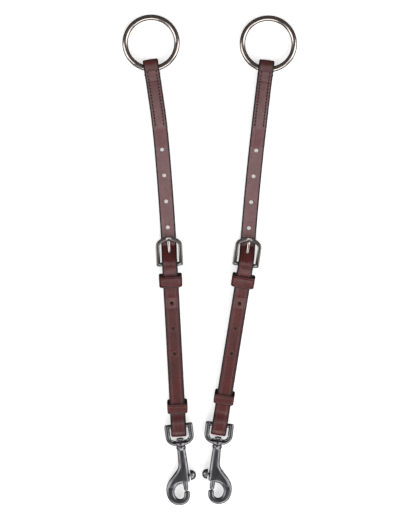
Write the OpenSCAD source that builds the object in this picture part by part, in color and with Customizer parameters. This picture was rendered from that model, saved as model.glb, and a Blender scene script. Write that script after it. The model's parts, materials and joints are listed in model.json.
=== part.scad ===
// A pair of running martingale attachments for half-inch tack. Each side is one
// strap with a rein ring in its upper fold, a buckle, two keepers and a swivel
// bolt snap in its lower fold. Both sides lie flat, face up, on z = 0.

/* [Strap] */
// Width of the strap
strap_w = 12.7; // [12:0.1:13]
// Thickness of the leather
strap_t = 2.8; // [2.6:0.1:2.9]
// Distance from the rein ring to the buckle bar
upper_len = 163; // [160:1:170]
// Distance from the buckle bar to the snap's eye bar
lower_len = 134.5; // [130:0.5:140]
// Diameter of the adjusting holes
hole_d = 3.2; // [3:0.1:3.6]
// Distance between the adjusting holes
hole_pitch = 21.6; // [21:0.1:22]

/* [Rein ring] */
// Inside diameter of the rein ring
ring_id = 38.5; // [37:0.5:40]
// Thickness of the ring's wire
ring_wire = 4.6; // [4.2:0.1:4.8]

/* [Buckle] */
// Overall width of the buckle frame
frame_w = 22.2; // [22:0.1:23]
// Overall length of the buckle frame
frame_len = 24.5; // [24:0.1:25]
// Thickness of the frame's sides and bar
frame_t = 3.3; // [3.1:0.1:3.4]
// Width of the tongue
tongue_w = 2.5; // [2.2:0.1:2.6]

/* [Keepers] */
// Length of the fixed keeper along the strap
fixed_keeper_len = 9.5; // [9:0.1:10]
// Length of the sliding keeper along the strap
sliding_keeper_len = 8.1; // [7.5:0.1:8.5]
// Thickness of the keeper leather
keeper_t = 1.5; // [1.3:0.1:1.5]

/* [Snap] */
// Diameter of the eye's bar
eye_bar_d = 3.8; // [3.6:0.1:3.9]
// Diameter of the snap's body
body_d = 7.3; // [7.2:0.1:7.6]
// Thickness of the hook's bowl
hook_t = 5.8; // [5.4:0.1:6.2]
// Diameter of the sliding bolt
bolt_d = 4; // [3.8:0.1:4]
// Diameter of the thumb knob
knob_d = 8.8; // [8.4:0.1:9]
// How far the bolt slides back
bolt_travel = 7.5; // [7:0.1:7.5]

/* [Lay] */
// Slope of each snap in plan, in degrees
snap_tilt = 7; // [6.8:0.1:7.2]

/* [Hidden] */
$fn = 48;
eps = 0.01;
PIECES = [
    "ring", "strap", "ring_stitching", "buckle_stitching", "buckle_frame", "buckle_tongue",
    "fixed_keeper", "sliding_keeper", "swivel_eye", "swivel_rivet", "snap_hook",
    "snap_bolt", "thumb_knob", "bolt_spring"
];
SIDES = ["left", "right"];

leather = [0.38, 0.22, 0.21];
thread = [0.12, 0.09, 0.09];
nickel = [0.78, 0.78, 0.76];
gunmetal = [0.42, 0.42, 0.44];
steel = [0.6, 0.6, 0.62];

half_t = strap_t / 2;
ply_gap = 0.1;                      // between two layers of leather
ply = strap_t + ply_gap;
s_bar = upper_len;                  // distances along the strap, from the ring
s_eye = upper_len + lower_len;

// Each side's plan: where the ring's wire crosses the strap, then the strap's
// stretches as [length, heading at its start, heading at its end]. A heading is
// in degrees from -Y, towards +X.
left_start = [-48.2, 158.3];
left_run = [[30, 8.6, 8.4], [30, 8.4, 5.2], [103, 5.2, 2.8], [10, 2.8, 3.05], [140, 3.05, 3.05]];
right_start = [46.7, 157.7];
right_run = [[66, -7.2, -6.2], [83, -6.2, -4.2], [16, -4.2, -9.2], [148, -9.2, -9.2]];
function start_of(side) = side == "left" ? left_start : right_start;
function run_of(side) = side == "left" ? left_run : right_run;
function hand_of(side) = side == "left" ? 1 : -1;
function ring_heading(side) = side == "left" ? 1.1 : -5.6;
function snap_heading(side) = hand_of(side) * snap_tilt;

// A point on one stretch, a distance d from its start p
function along(p, leg, d) =
    let (bend = (leg[2] - leg[1]) / leg[0], h = leg[1] + bend * d, r = bend == 0 ? 0 : 180 / PI / bend)
    bend == 0
        ? [p[0] + d * sin(h), p[1] - d * cos(h), h]
        : [p[0] + r * (cos(leg[1]) - cos(h)), p[1] - r * (sin(h) - sin(leg[1])), h];
// The strap's plan point and heading at a distance s from the ring
function plan_from(p, run, s, i = 0) =
    s <= run[i][0] || i == len(run) - 1
        ? along(p, run[i], s)
        : plan_from(along(p, run[i], run[i][0]), run, s - run[i][0], i + 1);
function plan(side, s) = plan_from(start_of(side), run_of(side), s);

// Heights of the leather's middle plane
z_floor = half_t;
z_second = z_floor + ply;
keeper_gap = 0.15;
z_lift = keeper_t + keeper_gap + half_t;    // where a keeper passes underneath
z_tail = z_floor + 2 * half_t + keeper_t + 2 * keeper_gap;
z_over_tail = z_tail + ply;

// The folds: inner radius of the leather round the ring, the bar and the eye
ring_fold = 2.95;
bar_fold = frame_t / 2 + 0.25;
eye_fold = eye_bar_d / 2 + 0.3;
ring_fold_r = ring_fold + half_t;
bar_fold_r = bar_fold + half_t;
eye_fold_r = eye_fold + half_t;
ring_fold_s = -2.2;                 // the ring fold's centre
eye_fold_s = s_eye + 4;             // the eye fold's centre
bar_z = z_floor + bar_fold_r;
eye_z = z_floor + eye_fold_r;
ring_fold_z = z_floor + ring_fold_r;
z_crest = bar_z + bar_fold_r + ply;

// The strap's side view: corners as [distance along the strap, height, rounding]
side_corners = [
    [50, z_floor, 0],
    [ring_fold_s - ring_fold_r, z_floor, ring_fold_r],
    [ring_fold_s - ring_fold_r, z_floor + 2 * ring_fold_r, ring_fold_r],
    [2.4, z_floor + 2 * ring_fold_r, 3],
    [7, z_second, 3],
    [51, z_second, 6],
    [59, z_floor, 6],
    [s_bar - 14.6, z_floor, 5],
    [s_bar - 3.1, z_crest, 4],
    [s_bar + 2.5, z_crest, 5],
    [s_bar + 9, z_over_tail, 5],
    [s_bar + 27, z_over_tail, 6],
    [s_bar + 37, z_lift + ply, 6],
    [s_eye - 9.5, z_lift + ply, 4],
    [s_eye - 3.5, eye_z + eye_fold_r, 4],
    [eye_fold_s + eye_fold_r, eye_z + eye_fold_r, eye_fold_r],
    [eye_fold_s + eye_fold_r, z_floor, eye_fold_r],
    [s_eye - 4, z_floor, 4],
    [s_eye - 9, z_lift, 4],
    [s_bar + 35, z_lift, 6],
    [s_bar + 25, z_floor, 6],
    [s_bar - bar_fold_r, z_floor, bar_fold_r],
    [s_bar - bar_fold_r, bar_z + bar_fold_r, bar_fold_r],
    [s_bar + 2, bar_z + bar_fold_r, 4],
    [s_bar + 7.5, z_tail, 4],
    [s_bar + 24.5, z_tail, 0]
];

function dir(v) = v / norm(v);
// The arc that rounds the corner b between a and c, as points with their normals
function rounded(a, b, c, r) =
    let (
        u = dir(a - b),
        v = dir(c - b),
        half = acos(max(-1, min(1, u * v))) / 2,
        centre = b + dir(u + v) * r / sin(half),
        turn = sign(cross(b - a, c - b)),
        from = -turn * [-u[1], u[0]],
        sweep = 180 - 2 * half,
        steps = max(2, ceil(sweep / 15))
    )
    [for (i = [0:steps])
        let (t = -turn * sweep * i / steps, n = turn * from,
             out = [n[0] * cos(t) + n[1] * sin(t), -n[0] * sin(t) + n[1] * cos(t)])
        [centre - turn * r * out, out]];
function flat(lists) = [for (list = lists, item = list) item];
function xy(p) = [p[0], p[1]];
// The strap's middle line with its normals, corner by corner
function side_line(corners) = flat([
    for (i = [0:len(corners) - 1])
        let (b = xy(corners[i]))
        i == 0 ? [[b, normal(b, xy(corners[1]))]]
        : i == len(corners) - 1 ? [[b, normal(xy(corners[i - 1]), b)]]
        : rounded(xy(corners[i - 1]), b, xy(corners[i + 1]), corners[i][2])
]);
function normal(a, b) = let (d = dir(b - a)) [-d[1], d[0]];
// Long straight stretches are split, so that they can follow the plan's bend
function split(line, step) = flat([
    for (i = [0:len(line) - 1])
        i == len(line) - 1 ? [line[i]]
        : let (n = max(1, floor(norm(line[i + 1][0] - line[i][0]) / step)))
          [for (k = [0:n - 1]) [line[i][0] + (line[i + 1][0] - line[i][0]) * k / n, line[i][1]]]
]);

// One side-view point at a place across the strap, in the part's frame
function placed(side, point, across) =
    let (p = plan(side, point[0]), h = p[2])
    [p[0] + across * cos(h), p[1] + across * sin(h), point[1]];
function strap_ring(side, item) =
    let (low = item[0] - item[1] * half_t, high = item[0] + item[1] * half_t, w = strap_w / 2)
    [placed(side, low, -w), placed(side, low, w), placed(side, high, w), placed(side, high, -w)];

// A closed tube through rings of points, each ring with the same count
module sweep(rings) {
    n = len(rings[0]);
    last = len(rings) - 1;
    points = flat(rings);
    sides = [for (i = [0:last - 1], k = [0:n - 1])
        [i * n + k, i * n + (k + 1) % n, (i + 1) * n + (k + 1) % n, (i + 1) * n + k]];
    ends = [[for (k = [n - 1:-1:0]) k], [for (k = [0:n - 1]) last * n + k]];
    polyhedron(points, concat(sides, ends), convexity = 10);
}

// Places its children at a distance s along a side's strap: +Y points back up
// the strap, and +X across it
module at_strap(side, s, z = 0) {
    p = plan(side, s);
    translate([p[0], p[1], z]) rotate([0, 0, p[2]]) children();
}
// Places its children on a side's snap: the origin on the eye's bar, -Y along
// the snap, and +X towards the thumb knob
module at_snap(side) {
    p = plan(side, s_eye);
    translate([p[0], p[1], eye_z]) rotate([0, 0, snap_heading(side)])
        if (side == "left") children(); else mirror([1, 0, 0]) children();
}
module along_y(from, to, d) {
    translate([0, -from, 0]) rotate([90, 0, 0]) cylinder(h = to - from, d = d);
}
module slab(size, at) {
    translate(at - size / 2) cube(size);
}

// ---- Strap ----
stitch_len = 1.9;
stitch_w = 0.7;
stitch_h = 0.35;
groove_h = 0.5;
groove_w = 1.4;
row_gap = 7;                        // between the two rows of stitches
ring_stitches = 15;
ring_stitch_s = 9.4;
stitch_pitch = 2.75;
buckle_stitches = 6;
buckle_stitch_s = s_bar + 8;
slot_w = tongue_w + 0.9;
// The open holes, from the tongue's hole up and down, measured from the bar
hole_places = [for (i = [1:4]) s_bar - 9 - i * hole_pitch];
lower_holes = [for (i = [1:4]) s_bar - 10 + i * 21.1];

tongue_angle = 4.5;
tongue_lift = 8.5;                  // how far the tongue and frame swing up
tongue_t = 1.8;

// The room for the tongue where it comes up through the strap
module tongue_room() {
    reach = 15.5;
    near = 5.4;
    spare = tongue_t / 2 + 0.25;
    low = tongue_angle;
    high = tongue_angle + tongue_lift;
    rotate([90, 0, 90]) linear_extrude(slot_w, center = true) polygon([
        [near, near * tan(low) - spare],
        [reach, reach * tan(low) - spare],
        [reach, reach * tan(high) + spare],
        [near, near * tan(high) + spare]
    ]);
}
module stitch_row(side, first, count, pitch, z, size) {
    for (i = [0:count - 1], row = [-1, 1])
        at_strap(side, first + i * pitch, z) slab(size, [row * row_gap / 2, 0, size[2] / 2]);
}
module stitch_grooves(side, first, count, pitch) {
    length = (count - 1) * pitch + stitch_len + 1;
    for (row = [-1, 1])
        at_strap(side, first + (count - 1) * pitch / 2)
            slab([groove_w, length, 2 * groove_h], [row * row_gap / 2, 0, 0]);
}
module strap(side) {
    line = split(side_line(side_corners), 14);
    color(leather) difference() {
        sweep([for (item = line) strap_ring(side, item)]);
        for (s = hole_places) at_strap(side, s, -1) cylinder(h = strap_t + 2, d = hole_d);
        for (i = [1:3]) at_strap(side, lower_holes[i], z_lift + ply - half_t - 0.05)
            cylinder(h = strap_t + 2, d = hole_d);
        at_strap(side, lower_holes[0], z_over_tail - half_t - 0.05) cylinder(h = strap_t + 0.1, d = hole_d);
        at_strap(side, s_bar, bar_z) rotate([0, 90, 0])
            cylinder(h = slot_w, r = bar_fold_r + half_t + 0.05, center = true);
        at_strap(side, s_bar, bar_z) tongue_room();
        stitch_grooves(side, ring_stitch_s, ring_stitches, stitch_pitch);
        stitch_grooves(side, buckle_stitch_s, buckle_stitches, stitch_pitch);
    }
}
module ring_stitching(side) {
    color(thread) {
        stitch_row(side, ring_stitch_s, ring_stitches, stitch_pitch, z_second + half_t,
            [stitch_w, stitch_len, stitch_h]);
        stitch_row(side, ring_stitch_s, ring_stitches, stitch_pitch, groove_h - stitch_h,
            [stitch_w, stitch_len, stitch_h]);
    }
}
module buckle_stitching(side) {
    color(thread)
        stitch_row(side, buckle_stitch_s, buckle_stitches, stitch_pitch, groove_h - stitch_h,
            [stitch_w, stitch_len, stitch_h]);
}

// ---- Rein ring ----
ring_r = (ring_id + ring_wire) / 2;
ring_slope = asin((ring_fold_z - ring_wire / 2) / (2 * ring_r));
module ring(side) {
    p = start_of(side);
    color(nickel) translate([p[0], p[1], ring_fold_z]) rotate([0, 0, ring_heading(side)])
        rotate([-ring_slope, 0, 0]) translate([0, ring_r, 0])
            rotate_extrude($fn = 96) translate([ring_r, 0]) circle(d = ring_wire);
}

// ---- Buckle ----
frame_in = frame_w / 2 - frame_t - 0.1;     // half the clear width
frame_thick = frame_t - 0.3;
top_bar_y = frame_len - frame_t;            // the top bar's middle, from the bar
arch_r = 14;
function arc(c, r, from, to, steps = 12) =
    [for (i = [0:steps]) let (t = from + (to - from) * i / steps) c + r * [cos(t), sin(t)]];
// A buckle outline with straight sides, an arched top and round lower corners
function arched(half_w, low, top, r, corner) =
    let (c = [0, top - r], reach = acos(half_w / r))
    concat(
        arc([half_w - corner, low + corner], corner, -90, 0, 6),
        arc(c, r, reach, 180 - reach, 16),
        arc([-half_w + corner, low + corner], corner, 180, 270, 6)
    );
module buckle_frame(side) {
    low = -frame_t / 2;
    top = frame_len + low;
    color(nickel) at_strap(side, s_bar, bar_z) difference() {
        union() {
            difference() {
                linear_extrude(frame_thick, center = true)
                    polygon(arched(frame_w / 2, low, top, arch_r, 1.4));
                linear_extrude(frame_t + 2, center = true)
                    polygon(arched(frame_in, low - 3, top - frame_t, arch_r - frame_t + 0.3, 1));
            }
            rotate([0, 90, 0]) cylinder(h = 2 * frame_in + 1.6, d = frame_t, center = true);
        }
        slab([tongue_w + 0.8, frame_t + 2, 2], [0, top_bar_y, frame_thick / 2]);
    }
}
module buckle_tongue(side) {
    tip = top_bar_y + 0.9;
    hub_d = frame_t + 2.6;
    color(nickel) at_strap(side, s_bar, bar_z) rotate([tongue_angle, 0, 0]) difference() {
        union() {
            rotate([0, 90, 0]) cylinder(h = tongue_w, d = hub_d, center = true);
            translate([-tongue_w / 2, 0, -tongue_t / 2]) cube([tongue_w, tip - tongue_w / 2, tongue_t]);
            translate([0, tip - tongue_w / 2, -tongue_t / 2]) cylinder(h = tongue_t, d = tongue_w);
        }
        rotate([0, 90, 0]) cylinder(h = tongue_w + 2, d = frame_t + 0.2, center = true);
    }
}

// ---- Keepers ----
function round_box(half_w, low, high, r) = concat(
    arc([half_w - r, low + r], r, -90, 0, 5),
    arc([half_w - r, high - r], r, 0, 90, 5),
    arc([-half_w + r, high - r], r, 90, 180, 5),
    arc([-half_w + r, low + r], r, 180, 270, 5)
);
// A band round the strap: low and high are its inner heights
module band(half_in, low, high, length) {
    rotate([90, 0, 0]) linear_extrude(length, center = true) difference() {
        polygon(round_box(half_in + keeper_t, low - keeper_t, high + keeper_t, 1.2));
        polygon(round_box(half_in, low, high, 0.4));
    }
}
fixed_keeper_s = s_bar + 14.9;
fixed_keeper_in = strap_w / 2 + 1.6;
module fixed_keeper(side) {
    color(leather) at_strap(side, fixed_keeper_s)
        band(fixed_keeper_in, z_tail - half_t - keeper_gap, z_over_tail + half_t + keeper_gap,
            fixed_keeper_len);
}
sliding_keeper_in = strap_w / 2 + 0.4;
function sliding_keeper_s(side) = side == "left" ? s_eye - 14.4 : s_eye - 21.2;
module sliding_keeper(side) {
    color(leather) at_strap(side, sliding_keeper_s(side))
        band(sliding_keeper_in, keeper_t + keeper_gap - 0.1, z_lift + ply + half_t + keeper_gap,
            sliding_keeper_len);
}

// ---- Snap: a is the distance along the snap from the eye's bar ----
eye_out = 11.8;
eye_in = 7.8;
eye_top = 2.9;
window_end = 11.5;
eye_end = 16.6;
eye_t = 5;
pin_d = 3.2;
collar_d = 7.6;
eye_corner = [2, 3];                // how much the eye's lower corners are cut off
module swivel_eye(side) {
    color(gunmetal) at_snap(side) difference() {
        union() {
            rotate([0, 90, 0]) cylinder(h = 2 * eye_in + 2, d = eye_bar_d, center = true);
            for (x = [-1, 1])
                slab([eye_out - eye_in, window_end + eye_top + eps, eye_t],
                    [x * (eye_out + eye_in) / 2, (eye_top - window_end) / 2, 0]);
            linear_extrude(eye_t, center = true) polygon([
                [-eye_out, -window_end],
                [-eye_out + eye_corner[0], -window_end - eye_corner[1]],
                [-collar_d / 2, -eye_end],
                [collar_d / 2, -eye_end],
                [eye_out - eye_corner[0], -window_end - eye_corner[1]],
                [eye_out, -window_end]
            ]);
        }
        along_y(window_end - 2, eye_end + 2, pin_d + 0.3);
    }
}
rivet_head_d = 5.6;
rivet_head_from = 9.7;
shank_end = 22.5;                   // the rivet's end inside the hook
module swivel_rivet(side) {
    head_to = window_end - 0.15;
    color(steel) at_snap(side) {
        along_y(rivet_head_from, head_to, rivet_head_d);
        along_y(head_to - eps, shank_end, pin_d);
    }
}

body_from = eye_end + 0.2;
neck_from = 19.4;
shoulder_from = 27;
body_to = 47;
bolt_tip = 54.3;
bolt_from = 37;
knob_a = 41.7;
stem_d = 2.4;
knob_in = 4.9;
knob_out = 9.2;
bore_d = bolt_d + 0.3;
bore_from = 23.5;
bowl = [-5.8, -54.8];               // the bowl's centre, across and along
bowl_r = 10.85;
opening_r = 4.15;
opening_half = 2.1;                 // half the straight of the opening
opening_y = 0.4;                    // how far the opening sits above the bowl's centre
tip = [0.35, -57.2];                // the tip's centre
tip_r = 2.35;
neck_d = 6.4;
bowl_cut_x = 2.6;                   // where the bowl's round stops on the tip's side
mouth_gap = 0.3;                    // between the bolt's tip and the hook's
module stadium(centre, r, half, h) {
    for (y = [-half, half]) translate([centre[0], centre[1] + y, 0]) cylinder(h = h, r = r, center = true);
    slab([2 * r, 2 * half, h], [centre[0], centre[1], 0]);
}
module hook_blank() {
    // the bowl, its shoulder and the tip
    intersection() {
        translate([bowl[0], bowl[1], 0]) cylinder(h = hook_t, r = bowl_r, center = true, $fn = 96);
        slab([20, 40, hook_t + 2], [bowl_cut_x - 10, bowl[1], 0]);
    }
    translate([tip[0], tip[1], 0]) cylinder(h = hook_t, r = tip_r, center = true);
    linear_extrude(hook_t, center = true) polygon([
        [3.3, -34], [3.3, -body_to], [-2.5, -body_to - 0.5], [-5.8, -50],
        [-15.6, -50], [-13.7, -45], [-11.3, -42.3], [-7.6, -38.2], [-3.3, -34]
    ]);
}
module snap_hook(side) {
    color(gunmetal) at_snap(side) difference() {
        union() {
            along_y(body_from, neck_from, collar_d);
            along_y(neck_from - eps, shoulder_from, neck_d);
            along_y(shoulder_from - eps, body_to, body_d);
            hook_blank();
        }
        stadium([bowl[0], bowl[1] + opening_y], opening_r, opening_half, hook_t + 4);
        slab([16, bolt_tip + mouth_gap - body_to, hook_t + 4],
            [bowl[0] + 8, -(body_to + bolt_tip + mouth_gap) / 2, 0]);
        along_y(bore_from, body_to + 1, bore_d);
        along_y(body_from - 1, shank_end, pin_d);
        // the slit that the knob's stem runs in
        slab([body_d, bolt_travel + stem_d + 0.6, stem_d + 0.3],
            [body_d / 2, -knob_a + bolt_travel / 2, 0]);
    }
}
module snap_bolt(side) {
    color(steel) at_snap(side) difference() {
        along_y(bolt_from, bolt_tip, bolt_d);
        translate([0, -knob_a, 0]) rotate([0, 90, 0]) cylinder(h = bolt_d, d = stem_d);
    }
}
module thumb_knob(side) {
    color(gunmetal) at_snap(side) translate([0, -knob_a, 0]) rotate([0, 90, 0]) {
        cylinder(h = knob_in + 0.5, d = stem_d);
        rotate_extrude() polygon(concat(
            [[0, knob_in], [knob_d / 2 - 0.6, knob_in], [knob_d / 2, knob_in + 0.7]],
            [for (t = [10:16:90]) [knob_d / 2 * cos(t), knob_in + 1 + (knob_out - knob_in - 1) * sin(t)]]
        ));
    }
}
spring_from = bore_from + 0.4;
spring_to = bolt_from - 0.1;
spring_r = 1.6;
spring_wire = 0.6;
coils = 7;
module bolt_spring(side) {
    steps = 14;
    sides = 6;
    rise = spring_to - spring_from - spring_wire;
    color(steel) at_snap(side) sweep([for (i = [0:coils * steps])
        let (t = i * 360 / steps, y = -(spring_from + spring_wire / 2 + rise * i / (coils * steps)))
        [for (k = [sides - 1:-1:0])
            let (q = k * 360 / sides, r = spring_r + spring_wire / 2 * cos(q))
            [r * cos(t), y + spring_wire / 2 * sin(q), r * sin(t)]]
    ]);
}

for (side = SIDES) {
    ring(side);
    strap(side);
    ring_stitching(side);
    buckle_stitching(side);
    buckle_frame(side);
    buckle_tongue(side);
    fixed_keeper(side);
    sliding_keeper(side);
    swivel_eye(side);
    swivel_rivet(side);
    snap_hook(side);
    snap_bolt(side);
    thumb_knob(side);
    bolt_spring(side);
}
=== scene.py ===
"""Looks for a pair of running martingale attachments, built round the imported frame.

Lengths are in millimetres until a mesh is made, which turns them into metres.
A place on a strap is a distance s along it from the rein ring, a distance x across
it, and a height. The snaps have their own frame: a runs along the snap from the
eye's bar, and x points to the thumb knob.
"""
import json
import math

import bpy
import numpy as np
from mathutils import Matrix, Vector

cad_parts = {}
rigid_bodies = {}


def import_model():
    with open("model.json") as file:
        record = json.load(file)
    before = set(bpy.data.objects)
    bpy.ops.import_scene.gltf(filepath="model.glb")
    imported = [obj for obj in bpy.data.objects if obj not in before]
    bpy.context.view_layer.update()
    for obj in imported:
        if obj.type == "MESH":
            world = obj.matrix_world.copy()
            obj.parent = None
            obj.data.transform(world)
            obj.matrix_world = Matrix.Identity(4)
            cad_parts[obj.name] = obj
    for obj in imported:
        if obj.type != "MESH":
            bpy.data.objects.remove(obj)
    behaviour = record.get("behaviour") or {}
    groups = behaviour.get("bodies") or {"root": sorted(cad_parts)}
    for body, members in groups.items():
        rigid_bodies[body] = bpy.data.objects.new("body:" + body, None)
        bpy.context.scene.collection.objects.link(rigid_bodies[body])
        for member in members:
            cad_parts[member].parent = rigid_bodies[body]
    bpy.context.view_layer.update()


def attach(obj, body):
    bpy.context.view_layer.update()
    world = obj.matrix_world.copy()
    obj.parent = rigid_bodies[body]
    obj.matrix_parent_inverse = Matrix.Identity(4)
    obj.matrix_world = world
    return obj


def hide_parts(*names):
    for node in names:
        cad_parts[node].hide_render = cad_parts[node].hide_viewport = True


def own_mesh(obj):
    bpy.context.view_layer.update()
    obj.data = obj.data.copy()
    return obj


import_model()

MM = 0.001  # metres in a millimetre
SIDES = ("left", "right")
HAND = {"left": 1, "right": -1}  # which way along X each snap's thumb knob points

# ---- Driving sizes, as in the CAD model ----
STRAP_W = 12.7
STRAP_T = 2.8
HALF_T = STRAP_T / 2
PLY = STRAP_T + 0.1
S_BAR = 163.0
S_EYE = S_BAR + 134.5
HOLE_D = 3.2
# the free holes above the buckle, and the holes below it
HOLES = [S_BAR - 9 - i * 21.6 for i in (1, 2, 3, 4)]
LOWER_HOLES = [S_BAR - 10 + i * 21.1 for i in (1, 2, 3, 4)]
RING_WIRE = 4.6
RING_R = (38.5 + RING_WIRE) / 2
FRAME_W = 22.2
FRAME_LEN = 24.5
FRAME_T = 3.3
ARCH_R = 14.0
TONGUE_W = 2.5
TONGUE_ANGLE = 4.5
TONGUE_LIFT = 8.5
KEEPER_T = 1.5
KEEPER_GAP = 0.15
EYE_BAR_D = 3.8
SNAP_TILT = 7.0

# ---- Each side's plan: the ring's fold, then stretches of (length, heading at start, heading at end) ----
PLAN = {
    "left": (
        (-48.2, 158.3),
        [(30, 8.6, 8.4), (30, 8.4, 5.2), (103, 5.2, 2.8), (10, 2.8, 3.05), (140, 3.05, 3.05)],
    ),
    "right": (
        (46.7, 157.7),
        [(66, -7.2, -6.2), (83, -6.2, -4.2), (16, -4.2, -9.2), (148, -9.2, -9.2)],
    ),
}
RING_HEADING = {"left": 1.1, "right": -5.6}  # how far each ring is turned from straight up the Y axis

# ---- Heights of the leather's middle plane, and the folds' radii ----
Z_FLOOR = HALF_T
Z_SECOND = Z_FLOOR + PLY
Z_LIFT = KEEPER_T + KEEPER_GAP + HALF_T
Z_TAIL = Z_FLOOR + STRAP_T + KEEPER_T + 2 * KEEPER_GAP
Z_OVER_TAIL = Z_TAIL + PLY
RING_FOLD_R = 2.95 + HALF_T
BAR_FOLD_R = FRAME_T / 2 + 0.25 + HALF_T
EYE_FOLD_R = EYE_BAR_D / 2 + 0.3 + HALF_T
RING_FOLD_S = -2.2
EYE_FOLD_S = S_EYE + 4
BAR_Z = Z_FLOOR + BAR_FOLD_R
EYE_Z = Z_FLOOR + EYE_FOLD_R
RING_Z = Z_FLOOR + RING_FOLD_R
Z_CREST = BAR_Z + BAR_FOLD_R + PLY

# The strap's side view: corners as (distance along the strap, height, rounding)
SIDE_CORNERS = [
    (50, Z_FLOOR, 0),
    (RING_FOLD_S - RING_FOLD_R, Z_FLOOR, RING_FOLD_R),
    (RING_FOLD_S - RING_FOLD_R, Z_FLOOR + 2 * RING_FOLD_R, RING_FOLD_R),
    (2.2, Z_FLOOR + 2 * RING_FOLD_R, 5.5),
    (9.6, Z_SECOND, 8),
    (50, Z_SECOND, 14),
    (65, Z_FLOOR, 14),
    (S_BAR - 14.6, Z_FLOOR, 5),
    (S_BAR - 3.1, Z_CREST, 9),
    (S_BAR + 2.5, Z_CREST, 14),
    (S_BAR + 9, Z_OVER_TAIL, 12),
    (S_BAR + 27, Z_OVER_TAIL, 6),
    (S_BAR + 37, Z_LIFT + PLY, 6),
    (S_EYE - 10, Z_LIFT + PLY, 14),
    (S_EYE - 2.5, EYE_Z + EYE_FOLD_R, 14),
    (EYE_FOLD_S + EYE_FOLD_R, EYE_Z + EYE_FOLD_R, EYE_FOLD_R),
    (EYE_FOLD_S + EYE_FOLD_R, Z_FLOOR, EYE_FOLD_R),
    (S_EYE - 4, Z_FLOOR, 4),
    (S_EYE - 9, Z_LIFT, 4),
    (S_BAR + 35, Z_LIFT, 6),
    (S_BAR + 25, Z_FLOOR, 6),
    (S_BAR - BAR_FOLD_R, Z_FLOOR, BAR_FOLD_R),
    (S_BAR - BAR_FOLD_R, BAR_Z + BAR_FOLD_R, BAR_FOLD_R),
    (S_BAR + 2, BAR_Z + BAR_FOLD_R, 4),
    (S_BAR + 7.5, Z_TAIL, 4),
    (S_BAR + 24.5, Z_TAIL, 0),
]


# ---- Places ----
def sin(degrees):
    return math.sin(math.radians(degrees))


def cos(degrees):
    return math.cos(math.radians(degrees))


def plan(side, s):
    """The strap's plan point and heading, s from the ring. Headings run from -Y towards +X."""
    (x, y), run = PLAN[side]
    for i, (length, h0, h1) in enumerate(run):
        d = s if s <= length or i == len(run) - 1 else length
        bend = (h1 - h0) / length
        h = h0 + bend * d
        if bend:
            r = math.degrees(1) / bend
            x, y = x + r * (cos(h0) - cos(h)), y - r * (sin(h) - sin(h0))
        else:
            x, y = x + d * sin(h), y - d * cos(h)
        if d == s:
            return x, y, h
        s -= length


def on_strap(side, s, z=0.0):
    """A matrix in millimetres: +Y points back up the strap, +X across it, +Z up."""
    x, y, h = plan(side, s)
    return Matrix.Translation((x, y, z)) @ Matrix.Rotation(math.radians(h), 4, "Z")


def on_snap(side):
    """A matrix for a side's snap: the origin on the eye's bar, -Y along the snap."""
    x, y, _ = plan(side, S_EYE)
    turn = Matrix.Rotation(math.radians(HAND[side] * SNAP_TILT), 4, "Z")
    return Matrix.Translation((x, y, EYE_Z)) @ turn @ Matrix.Diagonal((HAND[side], 1, 1, 1))


# ---- Meshes ----
def new_mesh(name, verts, faces, matrix=None, sharp=None):
    """A smooth-shaded object from points in millimetres, with edges sharp past the angle sharp."""
    mesh = bpy.data.meshes.new(name)
    points = [Vector(v) for v in verts]
    if matrix is not None:
        points = [matrix @ p for p in points]
        if matrix.determinant() < 0:
            faces = [tuple(reversed(f)) for f in faces]
    mesh.from_pydata([p * MM for p in points], [], faces)
    mesh.validate()
    mesh.update()
    obj = bpy.data.objects.new(name, mesh)
    bpy.context.scene.collection.objects.link(obj)
    mesh.shade_smooth()
    if sharp is not None:
        mesh.set_sharp_from_angle(angle=math.radians(sharp))
    return obj


def tube(rings, closed=False):
    """Vertices and faces of a tube through rings of equal length. An open tube gets its two ends."""
    count, width = len(rings), len(rings[0])
    verts = [p for ring in rings for p in ring]
    faces = []
    for i in range(count if closed else count - 1):
        a, b = i * width, (i + 1) % count * width
        faces += [(a + k, a + (k + 1) % width, b + (k + 1) % width, b + k) for k in range(width)]
    if not closed:
        faces.append(tuple(range(width - 1, -1, -1)))
        faces.append(tuple((count - 1) * width + k for k in range(width)))
    return verts, faces


def rounded_line(corners, turn=7.5):
    """A line with its corners rounded, as [point, normal] pairs. The normal is on its left."""
    out = []
    points = [np.array(c[:2], float) for c in corners]
    for i, (b, corner) in enumerate(zip(points, corners)):
        if i in (0, len(points) - 1):
            d = points[1] - b if i == 0 else b - points[-2]
            d /= np.linalg.norm(d)
            out.append((b, np.array((-d[1], d[0]))))
            continue
        u, v = points[i - 1] - b, points[i + 1] - b
        u, v = u / np.linalg.norm(u), v / np.linalg.norm(v)
        half = math.acos(max(-1.0, min(1.0, float(u @ v)))) / 2
        centre = b + (u + v) / np.linalg.norm(u + v) * corner[2] / math.sin(half)
        side = math.copysign(1, -u[0] * v[1] + u[1] * v[0])
        sweep = math.pi - 2 * half
        steps = max(2, math.ceil(math.degrees(sweep) / turn))
        start = np.array((u[1], -u[0]))
        for k in range(steps + 1):
            t = side * sweep * k / steps
            c, s = math.cos(t), math.sin(t)
            n = np.array((start[0] * c - start[1] * s, start[0] * s + start[1] * c))
            out.append((centre - side * corner[2] * n, n))
    return out


def stepped(line, step):
    """The same line with its long straight stretches split up."""
    out = []
    for (p, n), (q, m) in zip(line, line[1:]):
        count = max(1, round(float(np.linalg.norm(q - p)) / step))
        out += [(p + (q - p) * k / count, n + (m - n) * k / count) for k in range(count)]
    return out + [line[-1]]


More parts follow.
